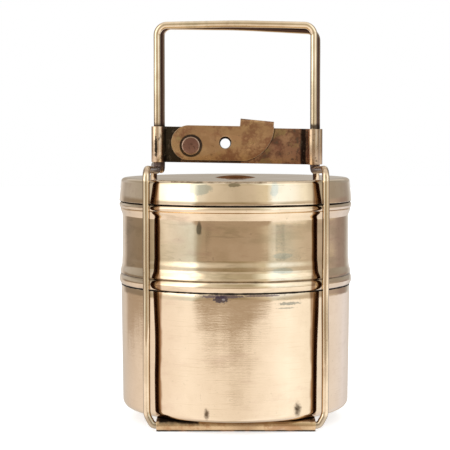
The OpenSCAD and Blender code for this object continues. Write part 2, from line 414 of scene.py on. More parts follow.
def cover(low, high, soft=0.6, ragged=1.5):
    """Everything within a box, with ragged sides; all in millimetres."""
    middle = tuple((a + b) / 2 * MM for a, b in zip(low, high))
    half = [(b - a) / 2 * MM for a, b in zip(low, high)]

    def mask(n, place, normal):
        off = n.split(n.vector("ABSOLUTE", n.vector("SUBTRACT", place, middle)))
        over = [n.math("SUBTRACT", axis, h) for axis, h in zip(off, half)]
        worst = n.math("MAXIMUM", n.math("MAXIMUM", over[0], over[1]), over[2])
        edge = n.math("ADD", worst, n.loose(place, 260.0, 4.0, 0.6, ragged * MM))
        return n.span(edge, soft * MM, -soft * MM)
    return mask


def shaded_inner_side(turn_z):
    """The side of a bail's wire that faces the containers, or above turn_z the other bail, where painted
    shade goes.
    """
    def mask(n, place, normal):
        x, y, z = n.split(place)
        across = n.math("MULTIPLY", x, n.span(z, turn_z, turn_z - 3 * MM))
        inward = n.join(n.math("MULTIPLY", across, -1.0), n.math("MULTIPLY", y, -1.0), 0.0)
        facing = n.vector("DOT_PRODUCT", normal, n.vector("NORMALIZE", inward))
        return n.span(facing, 0.42, 0.85)
    return mask


def shaded_flanks(low, high):
    """The sides of a wire that face left and right, where painted shade goes."""
    def mask(n, place, normal):
        return n.span(n.math("ABSOLUTE", n.split(normal)[0]), low, high)
    return mask


def wire_reflection_strips(low, high, soft=0.7 * MM):
    """Upright strips on a wall, low to high from its middle, where the bails' wires stand: a painted
    reflection of the wires.
    """
    def mask(n, place, normal):
        x, y, z = n.split(place)
        wander = n.loose(n.join(0.0, 0.0, z), 45.0, 2.0, 0.55, 4.0 * MM)
        off = n.math("ADD", n.math("ABSOLUTE", x), wander)
        strip = n.math("MULTIPLY", n.span(off, low - soft, low + soft),
                       n.span(off, high + soft, high - soft))
        upright = n.span(n.math("ABSOLUTE", n.split(normal)[2]), 0.75, 0.5)
        return n.math("MULTIPLY", strip, upright)
    return mask


def outline(x, z, radius, width):
    """A ring along a round edge seen from the front, centred on (x, z), for painted shadow round the lever
    and the rivet and a painted highlight on the rivet's rim.
    """
    def mask(n, place, normal):
        flat = n.vector("MULTIPLY", n.vector("SUBTRACT", place, (x, 0.0, z)), (1.0, 0.0, 1.0))
        off = n.math("ABSOLUTE", n.math("SUBTRACT", n.vector("LENGTH", flat), radius))
        return n.span(off, width, width * 0.3)
    return mask


def tide_marks(scale, stretch, width):
    """Thin wandering lines, as dried water leaves."""
    def mask(n, place, normal):
        level = n.loose(n.vector("MULTIPLY", place, stretch), scale, 4.0, 0.6, 1.0)
        line = n.span(n.math("ABSOLUTE", level), width, width * 0.2)
        return n.math("MULTIPLY", line, n.span(n.noise(place, 45.0), 0.45, 0.6))
    return mask


def blotches(scale, low, high):
    """Clouds of another tone."""
    def mask(n, place, normal):
        return n.span(n.noise(place, scale, 5.0, 0.62), low, high)
    return mask


def streaks(scale, low, high, stretch):
    """Blotches drawn out by the inverse of stretch."""
    def mask(n, place, normal):
        return n.span(n.noise(n.vector("MULTIPLY", place, stretch), scale, 5.0, 0.6), low, high)
    return mask


def worn_edges(radius):
    """Corners rubbed bright: where a rounded normal parts from the true one."""
    def mask(n, place, normal):
        bevel = n.add("ShaderNodeBevel", samples=6, Radius=radius)
        true = n.add("ShaderNodeNewGeometry").outputs["Normal"]
        return n.span(n.vector("DOT_PRODUCT", bevel.outputs[0], true), 0.985, 0.90)
    return mask


# ---------------------------------------------------------------- materials

def metal_tones(n, place, bright, dull, roughness, wear):
    """Colour and roughness of aged metal: two tones in clouds and patches, and dark specks."""
    cloud = n.noise(place, 38.0, 5.0, 0.6)
    patch = n.noise(place, 130.0, 4.0, 0.62)
    speck = n.span(n.noise(place, 460.0, 2.0, 0.5), 0.69, 0.75)
    colour = n.mix(n.math("MULTIPLY", n.span(cloud, 0.38, 0.66), wear), bright, dull)
    colour = n.mix(n.math("MULTIPLY", n.span(patch, 0.5, 0.7), wear * 0.45), colour, dull)
    colour = n.mix(n.math("MULTIPLY", speck, 0.3 * wear), colour, (0.05, 0.035, 0.025))
    rough = n.span(cloud, 0.3, 0.75, roughness * 0.7, roughness * 1.35)
    return colour, n.math("ADD", rough, n.span(patch, 0.5, 0.75, 0.0, roughness * 0.4))


def metal_relief(n, place, brushed, wave, around):
    """The bump of drawn lines, fine pits and a slow waviness."""
    if around:
        lines = n.noise(n.vector("MULTIPLY", place, (1.0, 1.0, 45.0)), 60.0, 3.0, 0.7)
    else:
        lines = n.noise(n.vector("MULTIPLY", place, (1.0, 1.0, 0.08)), 900.0, 3.0, 0.7)
    pits = n.noise(place, 1100.0, 2.0, 0.5)
    swell = n.noise(place, 26.0, 2.0, 0.5)
    height = n.math("MULTIPLY", lines, 0.000016 * brushed)
    height = n.math("ADD", height, n.math("MULTIPLY", pits, 0.000008 * brushed))
    height = n.math("ADD", height, n.math("MULTIPLY", swell, 0.0012 * wave))
    bump = n.add("ShaderNodeBump", Strength=1.0, Distance=1.0)
    n.link(height, bump.inputs["Height"])
    return bump.outputs[0]


def metal(name, bright, dull, roughness, wear, brushed, wave, layers, around=False, edge=(1, 1, 1)):
    """Aged metal under layers of (mask, colour, strength, added roughness); edge tints glancing shine."""
    material = bpy.data.materials.new(name)
    material.use_nodes = True
    n = Nodes(material.node_tree)
    out = n.add("ShaderNodeOutputMaterial")
    shader = n.add("ShaderNodeBsdfPrincipled", Metallic=1.0)
    shader.inputs["Specular Tint"].default_value = (*edge, 1.0)
    n.link(shader.outputs[0], out.inputs[0])
    coordinates = n.add("ShaderNodeTexCoord")
    place = coordinates.outputs["Object"]
    normal = coordinates.outputs["Normal"]
    colour, rough = metal_tones(n, place, bright, dull, roughness, wear)
    for mask, tint, strength, rougher in layers:
        amount = n.math("MULTIPLY", mask(n, place, normal), strength)
        colour = n.mix(amount, colour, tint)
        rough = n.math("ADD", rough, n.math("MULTIPLY", amount, rougher))
    n.link(colour, shader.inputs["Base Color"])
    n.link(rough, shader.inputs["Roughness"])
    n.link(metal_relief(n, place, brushed, wave, around), shader.inputs["Normal"])
    return material


BRIGHT = (0.84, 0.665, 0.455)
DULL = (0.70, 0.53, 0.34)
OLIVE = (0.50, 0.42, 0.26)
ROSE = (0.62, 0.42, 0.30)
# Painted shade: a dark brown and a near black for seams, gaps, creases and shadows under parts.
SHADE_BROWN = (0.035, 0.02, 0.012)
SHADE_BLACK = (0.012, 0.008, 0.006)
# The brown of the painted reflection of the wires on the walls.
WIRE_REFLECTION_BROWN = (0.22, 0.095, 0.03)
GREY_GREEN = (0.46, 0.46, 0.36)

upper_layers = [
    (streaks(34.0, 0.50, 0.64, (1.0, 1.0, 3.2)), OLIVE, 0.30, 0.05),
    (streaks(46.0, 0.56, 0.70, (1.0, 1.0, 4.0)), ROSE, 0.32, 0.05),
    (tide_marks(14.0, (1.0, 1.0, 6.0), 0.034), (0.40, 0.31, 0.19), 0.28, 0.1),
    # Painted shade: the neck under the lid, the seam under the lid's skirt, the wall's foot and the crease
    # above the foot bead.
    (band(lid_box[0].z + 5.5 * MM, 6.0 * MM, 0.2 * MM, 0.5 * MM), (0.24, 0.16, 0.085), 0.8, 0.2),
    (band(lid_box[0].z + 0.5 * MM, 0.9 * MM, 0.2 * MM, 0.5 * MM), SHADE_BLACK, 0.95, 0.4),
    (band(wall_box[0].z - 0.3 * MM, 0.55 * MM, 0.3 * MM, 0.7 * MM), SHADE_BLACK, 0.95, 0.4),
    (band(wall_box[0].z + 5.9 * MM, 0.25 * MM, 0.5 * MM, 0.9 * MM), SHADE_BROWN, 0.6, 0.2),
    # Painted reflection of the wires, as brown strips on the wall.
    (wire_reflection_strips(40.2 * MM, 42.6 * MM), WIRE_REFLECTION_BROWN, 0.85, 0.0),
    (stain(-19.3, 109.0, 1.5, 3.6, 1.0, 400.0, 0.5), (0.12, 0.10, 0.06), 0.8, 0.05),
    (stain(24.5, 94.5, 6.0, 1.6, 0.9, 300.0, 0.3), GREY_GREEN, 0.55, 0.05),
    (stain(24.5, 86.8, 6.0, 1.6, 0.9, 300.0, 0.3), GREY_GREEN, 0.55, 0.05),
]

lid_top = lid_box[1].z / MM
lid_layers = [
    (streaks(30.0, 0.54, 0.66, (1.0, 1.0, 2.0)), OLIVE, 0.22, 0.05),
    (streaks(60.0, 0.60, 0.72, (1.0, 1.0, 1.6)), ROSE, 0.3, 0.05),
    # Painted shade along the seam at the foot of the skirt.
    (band(lid_box[0].z - 0.2 * MM, 0.25 * MM, 0.3 * MM, 0.4 * MM), SHADE_BLACK, 0.9, 0.4),
    # Painted reflection of the wires, as brown strips on the skirt.
    (wire_reflection_strips(40.6 * MM, 43.4 * MM), WIRE_REFLECTION_BROWN, 0.85, 0.0),
    (stain(-18.8, 130.0, 6.0, 3.6, 1.3, 260.0, 0.3), (0.34, 0.36, 0.28), 0.6, 0.05),
    (stain(-1.5, 131.8, 3.4, 1.1, 1.2, 400.0, 0.4), (0.22, 0.18, 0.10), 0.75, 0.05),
    (stain(20.0, 129.5, 2.2, 4.5, 1.4, 300.0, 0.5), (0.46, 0.48, 0.40), 0.5, 0.05),
    # Painted darker reflection along the front of the lid's rounded top edge.
    (cover((-34, -80, lid_top - 0.9), (16, 0, lid_top - 0.3), 0.3, 1.2), (0.16, 0.10, 0.045), 0.85, 0.1),
]

lower_layers = [
    (streaks(40.0, 0.56, 0.72, (1.0, 1.0, 2.5)), ROSE, 0.25, 0.05),
    (streaks(60.0, 0.55, 0.70, (1.0, 1.0, 42.0)), DULL, 0.45, 0.05),
    # Painted reflection of the wires, as brown strips on the wall.
    (wire_reflection_strips(39.4 * MM, 42.4 * MM), (0.26, 0.115, 0.035), 0.8, 0.0),
    # Painted shade in the seam at the rim and along the foot where the container stands.
    (band(lower_box[1].z + 0.3 * MM, 0.5 * MM, 0.25 * MM, 0.8 * MM), SHADE_BLACK, 0.95, 0.4),
    (band(lower_box[0].z, 0.2 * MM, 0.6 * MM, 0.5 * MM), SHADE_BROWN, 0.6, 0.3),
    (stain(-7.0, 73.7, 13.0, 1.0, 1.8, 900.0), (0.10, 0.065, 0.10), 0.8, 0.3),
    (stain(-7.8, 72.2, 4.0, 1.9, 1.9, 900.0), (0.06, 0.04, 0.06), 0.9, 0.3),
    (stain(-6.6, 72.2, 1.0, 0.6, 0.9, 900.0), (0.50, 0.44, 0.44), 0.6, 0.1),
    (stain(14.0, 74.1, 11.0, 0.6, 1.8, 900.0), (0.14, 0.09, 0.12), 0.7, 0.3),
    (stain(28.0, 69.5, 6.5, 0.9, 2.2, 700.0), (0.30, 0.29, 0.22), 0.75, 0.2),
    (stain(26.5, 67.2, 5.0, 0.5, 2.0, 700.0), (0.36, 0.33, 0.25), 0.6, 0.2),
    (stain(-15.5, 11.5, 1.3, 2.6, 1.3, 700.0, 1.3), (0.08, 0.04, 0.015), 0.9, 0.2),
    (stain(32.5, 13.0, 1.8, 3.4, 1.3, 700.0, 1.3), (0.05, 0.025, 0.01), 0.95, 0.3),
]

wire_layers = [
    (streaks(60.0, 0.54, 0.68, (1.0, 1.0, 0.25)), OLIVE, 0.5, 0.1),
    (streaks(70.0, 0.58, 0.68, (0.3, 1.0, 0.3)), (0.34, 0.19, 0.12), 0.6, 0.1),
    # Painted shade on the side facing the containers and the other bail, on the left and right flanks, and
    # where the wires go into the clasps from below and above.
    (shaded_inner_side(140 * MM), (0.055, 0.022, 0.015), 0.97, 0.25),
    (shaded_flanks(0.80, 0.96), (0.07, 0.035, 0.02), 0.85, 0.1),
    (cover((-60, -7.5, 137.2), (60, 7.5, 142.5), 1.0, 1.0), SHADE_BLACK, 0.93, 0.3),
    (cover((-60, -7.5, 160.0), (60, 7.5, 163.2), 1.0, 2.5), SHADE_BROWN, 0.9, 0.3),
    (cover((-60, -42, 137.0), (60, 42, 142.5), 3.0, 2.0), (0.22, 0.15, 0.13), 0.7, 0.2),
    # Painted shade low on the wires beside the base.
    (band(4 * MM, 3.2 * MM, 2.5 * MM), SHADE_BROWN, 0.4, 0.2),
]

base_layers = [
    (streaks(90.0, 0.50, 0.64, (0.35, 1.0, 1.0)), ROSE, 0.5, 0.1),
    # Painted shade along the bottom of the rolls.
    (band(0.0, 0.75 * MM, 0.9 * MM), SHADE_BLACK, 0.97, 0.4),
    (blotches(120.0, 0.50, 0.60), (0.46, 0.24, 0.11), 0.6, 0.05),
    # Painted shade where the container stands on the plate, and a painted shadow in the gap under the
    # container's left corner.
    (band(base_box[1].z - 0.2 * MM, 0.5 * MM, 0.6 * MM, 1.0 * MM), (0.10, 0.04, 0.015), 0.85, 0.2),
    (cover((-41, -60, 4.5), (-20, -30, 8), 1.2, 3.0), SHADE_BLACK, 0.95, 0.4),
]

# The clasps: patches of old bronze, then painted shade and shadow beside and under the lever, then the ends
# rolled round the wires, with painted shade in their creases.
mottle = [
    (blotches(150.0, 0.45, 0.60), (0.14, 0.060, 0.036), 0.8, 0.1),
    (blotches(90.0, 0.52, 0.60), (0.36, 0.25, 0.10), 0.6, 0.0),
    (blotches(260.0, 0.56, 0.64), (0.30, 0.13, 0.08), 0.5, 0.0),
]
shade_beside_lever = [
    # Painted shade on the plate's left end beside the lever's grip, and in the crease before the right
    # sleeve.
    (cover((-39.5, -20, 120), (-30, 0, 180)), (0.022, 0.018, 0.012), 0.95, 0.2),
    (cover((36, -20, 120), (39.2, 0, 180), 0.8, 1.5), SHADE_BLACK, 0.95, 0.2),
    # Painted shadow along the lever's nose and under its lower edge, and painted shade in and round the
    # shackle hole.
    (outline(1.6 * MM, 162.5 * MM, 19.9 * MM, 0.9 * MM), SHADE_BROWN, 0.8, 0.2),
    (cover((-30, -20, 140.5), (3, 0, 143.6), 0.3, 0.3), SHADE_BROWN, 0.8, 0.2),
    (spot((shackle.x, 0.0, shackle.z), (4.8 * MM, 20 * MM, 4.8 * MM), 0.2), SHADE_BLACK, 0.98, 0.3),
]
rolled_ends = [
    # Painted shade in the crease beside the left sleeve.
    (cover((-40.2, -20, 120), (-38.5, 20, 180), 0.5, 0.5), SHADE_BLACK, 0.9, 0.2),
    (cover((-60, -20, 120), (-40.8, 20, 180), 0.4, 0.5), (0.66, 0.475, 0.31), 0.95, -0.15),
    (cover((40.8, -20, 120), (60, 20, 180), 0.4, 0.5), (0.50, 0.355, 0.225), 0.88, -0.13),
    (blotches(300.0, 0.57, 0.65), (0.12, 0.085, 0.055), 0.7, 0.1),
    # Painted shade as a dark groove down the front of the left sleeve.
    (spot((-43.9 * MM, -8 * MM, 150.8 * MM), (0.9 * MM, 4 * MM, 6.6 * MM), 1.5, 1400.0), SHADE_BLACK, 0.95, 0.4),
    (worn_edges(0.35 * MM), (0.84, 0.66, 0.45), 0.55, -0.1),
]

lever_layers = [
    (blotches(110.0, 0.47, 0.60), (0.24, 0.10, 0.052), 0.75, 0.1),
    (blotches(220.0, 0.56, 0.66), (0.56, 0.34, 0.17), 0.5, 0.0),
    (blotches(70.0, 0.55, 0.65), (0.46, 0.34, 0.14), 0.5, 0.0),
    (blotches(380.0, 0.60, 0.70), (0.13, 0.08, 0.04), 0.6, 0.1),
    (cover((0, -10, 165.5), (30, 10, 170), 0.4, 0.4), (0.10, 0.065, 0.035), 0.8, 0.1),
    # Painted shadow as a dark ring round the rivet.
    (outline(rivet_axis.x, rivet_axis.z, 5.7 * MM, 0.9 * MM), (0.04, 0.025, 0.015), 0.95, 0.1),
    (worn_edges(0.4 * MM), (0.86, 0.68, 0.46), 0.8, -0.1),
]

head_r = rivet_box[1].x - rivet_axis.x
rivet_layers = [
    (blotches(500.0, 0.52, 0.62), (0.12, 0.06, 0.04), 0.7, 0.1),
    # Painted highlight: a bright ring just inside the head's rim.
    (outline(rivet_axis.x, rivet_axis.z, head_r - 0.4 * MM, 0.3 * MM), (0.75, 0.56, 0.40), 0.5, -0.1),
    (worn_edges(0.5 * MM), (0.9, 0.74, 0.62), 0.9, -0.1),
]
washer_layers = [(worn_edges(0.2 * MM), (0.40, 0.30, 0.18), 0.6, -0.1)]
boss_layers = [(worn_edges(0.3 * MM), (0.6, 0.42, 0.33), 0.5, -0.1)]

upper_metal = metal("upper_brass", BRIGHT, DULL, 0.05, wear=0.6, brushed=0.2, wave=0.3,
                    layers=upper_layers, around=True)
lid_metal = metal("lid_brass", BRIGHT, DULL, 0.045, wear=0.45, brushed=0.08, wave=0.15,
                  layers=lid_layers, around=True)
lower_metal = metal("lower_brass", BRIGHT, DULL, 0.055, wear=0.3, brushed=0.45, wave=0.2,
                    layers=lower_layers, around=True)
wire_metal = metal("wire_brass", (0.86, 0.68, 0.46), (0.60, 0.45, 0.28), 0.10,
                   wear=0.7, brushed=0.5, wave=0.05, layers=wire_layers)
base_metal = metal("frame_brass", (0.72, 0.50, 0.28), (0.46, 0.29, 0.15), 0.17,
                   wear=0.8, brushed=0.6, wave=0.1, layers=base_layers)
front_clasp_metal = metal("front_clasp_bronze", (0.52, 0.30, 0.16), (0.33, 0.165, 0.095), 0.28,
                          wear=1.0, brushed=0.8, wave=0.1, layers=mottle + shade_beside_lever + rolled_ends)
rear_clasp_metal = metal("rear_clasp_bronze", (0.52, 0.31, 0.17), (0.33, 0.17, 0.10), 0.28,
                         wear=1.0, brushed=0.8, wave=0.1, layers=mottle + rolled_ends)
lever_metal = metal("lever_bronze", (0.56, 0.345, 0.165), (0.42, 0.235, 0.115), 0.30,
                    wear=1.0, brushed=0.6, wave=0.08, layers=lever_layers)
rivet_metal = metal("rivet_copper", (0.34, 0.18, 0.125), (0.21, 0.10, 0.07), 0.28,
                    wear=1.0, brushed=1.2, wave=0.4, layers=rivet_layers)
# The washer's near-black colour is partly dark oxide and partly painted shade, for the dark crescent beside
# the rivet's head.
washer_metal = metal("washer_dark", (0.10, 0.07, 0.045), (0.04, 0.026, 0.018), 0.42,
                     wear=1.0, brushed=1.0, wave=0.1, layers=washer_layers)
boss_metal = metal("boss_dark", (0.12, 0.066, 0.042), (0.06, 0.034, 0.022), 0.3,
                   wear=1.0, brushed=0.6, wave=0.1, layers=boss_layers, around=True, edge=(0.62, 0.40, 0.28))


def finish_piece(obj, material, body, node):
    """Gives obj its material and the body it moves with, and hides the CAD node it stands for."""
    obj.data.materials.clear()
    obj.data.materials.append(material)
    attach(obj, body)
    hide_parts(node)


# ---------------------------------------------------------------- containers and lid

def dents(depth, cells):
    """Slow shallow dents of a hand-finished wall, only ever inward."""
    def shape(a, r, z):
        p = Vector((math.cos(a) * cells, math.sin(a) * cells, z * 14))
        return depth * min(0.0, noise.noise(p) - 0.3)
    return shape


def shell_outline(outer, inner):
    """The whole outline, with enough points for the dents."""
    return refine(outer, LONGEST_STRETCH) + refine(inner, LONGEST_STRETCH)


def lower_profile():
    """A cup with a rounded foot, a little wider at the rim."""
    top, bottom = lower_box[1].z, lower_box[0].z
    rim_r = lower_box[1].x
    foot_r = rim_r - 0.8 * MM
    edge = 4.2 * MM
    lip = EDGE_LIP
    outer = [(0, bottom)] + arc(foot_r - edge, bottom + edge, edge, -90, 0, 14)
    outer += arc(rim_r - lip, top - lip, lip, 0, 90, 4)
    inner = arc(rim_r - SHEET_T + lip, top - lip, lip, 90, 180, 4)
    inner += arc(foot_r - edge, bottom + edge, edge - SHEET_T, 0, -90, 10)
    inner += [(0, bottom + SHEET_T)]
    return shell_outline(outer, inner)


def wall_profile():
    """A wall with a bead and a shoulder at its foot and at its rim, and a neck inside the lid."""
    foot, top = wall_box[0].z, wall_box[1].z
    bead_r = wall_box[1].x
    wall_r = bead_r - 1.7 * MM
    inner_r = wall_r - SHEET_T
    neck_r = wall_r - 1.0 * MM
    seat_r = bead_r - 1.0 * MM
    rim_top = lid_box[0].z - 0.4 * MM
    rim_bottom = 117.1 * MM
    lip = EDGE_LIP
    outer = [(inner_r, foot)] + bulge(seat_r, foot, foot + 5.7 * MM, 1.0 * MM)
    outer += ease(seat_r + 0.5 * MM, foot + 6.3 * MM, wall_r + 0.24 * MM, foot + 11.6 * MM)
    outer += ease(wall_r + 0.22 * MM, foot + 12.2 * MM, wall_r, foot + 17 * MM)
    outer += ease(wall_r, rim_bottom - 4.1 * MM, seat_r + 0.4 * MM, rim_bottom - 0.2 * MM)
    outer += bulge(seat_r, rim_bottom, rim_top, 1.0 * MM)
    outer += [(wall_r, rim_top)] + arc(neck_r - lip, top - lip, lip, 0, 90, 4)
    inner = arc(neck_r - SHEET_T + lip, top - lip, lip, 90, 180, 4) + [(inner_r, rim_top)]
    return shell_outline(outer, inner)


def pan_profile():
    """The upper container's bottom: a shallow pan that reaches into the lower container."""
    bottom, top, r = pan_box[0].z, pan_box[1].z, pan_box[1].x
    edge = 3 * MM
    outer = [(0, bottom)] + arc(r - edge, bottom + edge, edge, -90, 0, 10) + [(r, top)]
    inner = [(r - SHEET_T, top)] + arc(r - edge, bottom + edge, edge - SHEET_T, 0, -90, 8)
    inner += [(0, bottom + SHEET_T)]
    return shell_outline(outer, inner)


def lid_profile():
    """A flat lid with a rounded shoulder and a skirt that widens downward."""
    skirt, top, r = lid_box[0].z, lid_box[1].z, lid_box[1].x
    sheet = 0.9 * MM
    edge = 2.2 * MM
    shoulder = r - 1.1 * MM - edge
    lip = EDGE_LIP
    outer = [(0, top)] + arc(shoulder, top - edge, edge, 90, 0, 12)
    outer += arc(r - lip, skirt + lip, lip, 0, -90, 4)
    inner = arc(r - sheet + lip, skirt + lip, lip, -90, -180, 4)
    inner += arc(shoulder, top - edge, edge - sheet, 0, 90, 8) + [(0, top - sheet)]
    return shell_outline(outer, inner)


def boss_profile():
    """A low dome, flat underneath."""
    low, high, r = boss_box[0].z, boss_box[1].z, boss_box[1].x
    rise = high - low
    dome_r = (r * r + rise * rise) / (2 * rise)
    steps = 16
    radii = [r * (1 - i / steps) for i in range(steps + 1)]
    return [(0, low)] + [(x, high - dome_r + math.sqrt(dome_r ** 2 - x ** 2)) for x in radii]


lower = lathe("lower_container_shell", lower_profile(), shape=dents(0.18 * MM, 2.0))
finish_piece(lower, lower_metal, "lower_container", "lower_container")
wall = lathe("upper_container_shell", wall_profile(), shape=dents(0.14 * MM, 2.2))
finish_piece(wall, upper_metal, "upper_container", "upper_container_wall")
pan = lathe("upper_container_pan_shell", pan_profile())
finish_piece(pan, lower_metal, "upper_container", "upper_container_pan")
lid = lathe("lid_shell", lid_profile(), shape=dents(0.12 * MM, 1.8))
finish_piece(lid, lid_metal, "lid", "lid")
boss = lathe("lid_boss_cap", boss_profile(), segments=128)
finish_piece(boss, boss_metal, "lid", "lid_boss")


# ---------------------------------------------------------------- bails

FOOT_TURN = math.radians(60)
FOOT_BEND = 2.6 * MM
UPRIGHT_BEND = 9 * MM
SHOULDER_BEND = 6 * MM
LEG_BEND = 3 * MM
CORNER_BEND = 5.5 * MM
BOW = 0.9 * MM
BOW_BEND = 400 * MM
SHOULDER_Z = 139.7 * MM
LEG_FOOT_Z = 137.5 * MM


def bail_half(side, s, shift, corner_z):
    """The corners of one half of a bail, from under the base up to the grip; s is -1 left or 1 right."""
    hinge = front_hinge if side < 0 else rear_hinge
    upright_x = front_wire[1].x - WIRE_R
    foot_x = base_box[1].x + 0.4 * MM + FOOT_BEND * math.tan(FOOT_TURN / 2)
    return [
        Vector((s * 0.3 * MM, hinge.y, hinge.z)),
        Vector((s * foot_x, hinge.y, hinge.z)),
        Vector((s * upright_x, hinge.y, hinge.z + (upright_x - foot_x) * math.tan(FOOT_TURN))),
        Vector((s * upright_x, hinge.y, SHOULDER_Z)),
        Vector((s * LEG_X + shift, side * LEG_Y, LEG_FOOT_Z)),
        Vector((s * LEG_X + shift, side * LEG_Y, corner_z)),
    ]


def sway(p, seed, side):
    """How far a hand-straightened upright wanders from true, most beside the lower container."""
    low, high = 12 * MM, 130 * MM
    if not low < p.z < high:
        return Vector((0, 0, 0))
    fade = math.sin(math.pi * (p.z - low) / (high - low))
    loose = noise.noise(Vector((p.x * 40, seed, p.z * 22)))
    belly = math.exp(-((p.z - 42 * MM) / (24 * MM)) ** 2)
    bow = 1.1 * MM if p.x < 0 else 0.3 * MM
    return Vector((0.25 * MM * loose * fade, side * fade * (0.3 * MM * loose + bow * belly), 0))


def bail(name, side, shift, drop, seed):
    """A whole bail: side is -1 front or 1 rear, drop is how much lower its right corner hangs."""
    top_z = front_wire[1].z - WIRE_R
    left = bail_half(side, -1, shift, top_z - BOW)
    right = bail_half(side, 1, shift, top_z - BOW - drop)
    middle = [Vector((shift, side * LEG_Y, top_z - drop / 2))]
    radii = [0, FOOT_BEND, UPRIGHT_BEND, SHOULDER_BEND, LEG_BEND, CORNER_BEND]
    path = rounded_path(left + middle + right[::-1], radii + [BOW_BEND] + radii[::-1])
    path = [p + sway(p, seed, side) for p in path]

    def hammered(p, a):
        q = p * 90 + Vector((math.cos(a), math.sin(a), seed))
        return 0.05 * MM * (noise.noise(q) - 0.4)
    return tube(name, path, WIRE_R, hammered)


front_bail = bail("front_bail_loop", -1, 0, 0, 1.0)
finish_piece(front_bail, wire_metal, "front_bail", "front_bail_wire")
rear_bail = bail("rear_bail_loop", 1, REAR_SHIFT, REAR_DROP, 7.0)
finish_piece(rear_bail, wire_metal, "rear_bail", "rear_bail_wire")


# ---------------------------------------------------------------- base and clasps

def roll(cx, cy, start, end):
    """The middle line of a sheet rolled round a wire at (cx, cy)."""
    return arc(cx, cy, ROLL_MID, start, end, 46)


def base_strip():
    """Seen along X: the plate, with each edge rolled down round a wire."""
    right = roll(rear_hinge.y, rear_hinge.z, 90, -195)
    left = [(-v, w) for v, w in right][::-1]
    return left + right


base_half = base_box[1].x
base = prism("base_plate_sheet", sheet_outline(base_strip(), PLATE_T),
             lambda u, v, end: ((2 * end - 1) * base_half, u, v))
soften(base, 0.22 * MM)
finish_piece(base, base_metal, "base", "base_plate")

CLASP_H = 19.2 * MM
CLASP_MID = 151 * MM
CLASP_DROP = 1.5 * MM
SLEEVE_H = 19.7 * MM
SLEEVE_RISE = 0.3 * MM
CLASP_RIVET_HOLE = 2.4 * MM


def clasp(name, side, shift):
    """Seen from above: a leaf, with each end rolled outwards round a handle leg."""
    right = roll(shift + LEG_X, LEG_Y, -90, 195)
    left = [(2 * shift - u, v) for u, v in right][::-1]

    def place(u, v, end):
        s = max(-1.0, min(1.0, (u - shift) / LEG_X))
        in_sleeve = abs(u - shift) > LEG_X - ROLL_R
        half = (SLEEVE_H if in_sleeve else CLASP_H) / 2
        mid = CLASP_MID - s * CLASP_DROP / 2 + (SLEEVE_RISE if in_sleeve else 0)
        return (u, side * v, mid + (2 * end - 1) * half)

    piece = prism(name, sheet_outline(left + right, PLATE_T), place)
    cutters = [rod_y(shackle.x, shackle.z, shackle_r, -10 * MM, 10 * MM)]
    if side < 0:
        cutters.append(rod_y(rivet_axis.x, rivet_axis.z, CLASP_RIVET_HOLE, -10 * MM, 10 * MM))
    combine(piece, cutters, "DIFFERENCE")
    soften(piece, 0.2 * MM)
    return piece


front_clasp = clasp("front_clasp_sheet", -1, 0)
finish_piece(front_clasp, front_clasp_metal, "front_bail", "front_clasp_plate")
rear_clasp = clasp("rear_clasp_sheet", 1, REAR_SHIFT)
finish_piece(rear_clasp, rear_clasp_metal, "rear_bail", "rear_clasp_plate")


# ---------------------------------------------------------------- lever, rivet and washer

LEVER_FRONT = lever_box[0].y
LEVER_BACK = LEVER_FRONT + PLATE_T
LEVER_TILT = math.radians(1.0)
LEVER_RIVET_HOLE = 2.45 * MM
LEVER_SHACKLE_HOLE = 3.4 * MM
TAB_CORNER = Vector((2.6 * MM, LEVER_FRONT, 166.7 * MM))
TAB_TILT = math.radians(4.6)


def tilt(angle):
    """A turn in the plane of the lever."""
    return Matrix.Rotation(angle, 4, "Y")


def lever_outline():
    """Seen from the front: a rounded grip at the left and a broad nose at the right."""
    end_x, end_z, end_r = -26 * MM, 152.9 * MM, 9.6 * MM
    nose_x, nose_r = 1.6 * MM, 19.6 * MM
    grip = arc(end_x, end_z, end_r, 90, 270, 40)
    nose = arc(nose_x, end_z + end_r, nose_r, -78, 0, 40)
    return grip + [(nose_x + 1.0 * MM, end_z - end_r)] + nose


def catch_tab():
    """A tab that stands up from the lever and folds back over both clasp plates."""
    fold = 1.7 * MM
    rise = 8.2 * MM
    reach = lever_box[1].y - LEVER_FRONT
    width = 18.6 * MM
    profile = [(0, -rise)] + arc(fold, -fold, fold, 180, 90, 8) + [(reach, 0), (reach, -PLATE_T)]
    profile += arc(fold, -fold, fold - PLATE_T, 90, 180, 6) + [(PLATE_T, -rise)]
    tab = prism("tab", profile, lambda u, v, end: (end * width, u, v))
    tab.data.transform(Matrix.Translation(TAB_CORNER) @ tilt(TAB_TILT))
    return tab


def lever_plate():
    """The lever with its tab and its two holes."""
    piece = prism("lock_lever_plate", lever_outline(),
                  lambda u, v, end: (u, LEVER_BACK if end else LEVER_FRONT, v))
    combine(piece, [catch_tab()], "UNION")
    about_rivet = Matrix.Translation(rivet_axis) @ tilt(LEVER_TILT) @ Matrix.Translation(-rivet_axis)
    piece.data.transform(about_rivet)
    pivot = rod_y(rivet_axis.x, rivet_axis.z, LEVER_RIVET_HOLE, -20 * MM, 20 * MM)
    hole = rod_y(shackle.x, shackle.z + 0.5 * MM, LEVER_SHACKLE_HOLE, -20 * MM, 20 * MM)
    combine(piece, [pivot, hole], "DIFFERENCE")
    soften(piece, 0.22 * MM)
    return piece


def turn_to_front(obj, x, z):
    """Turns a lathed piece from +Z to -Y and puts its axis at (x, z)."""
    obj.data.transform(Matrix.Translation((x, 0, z)) @ Matrix.Rotation(math.radians(90), 4, "X"))


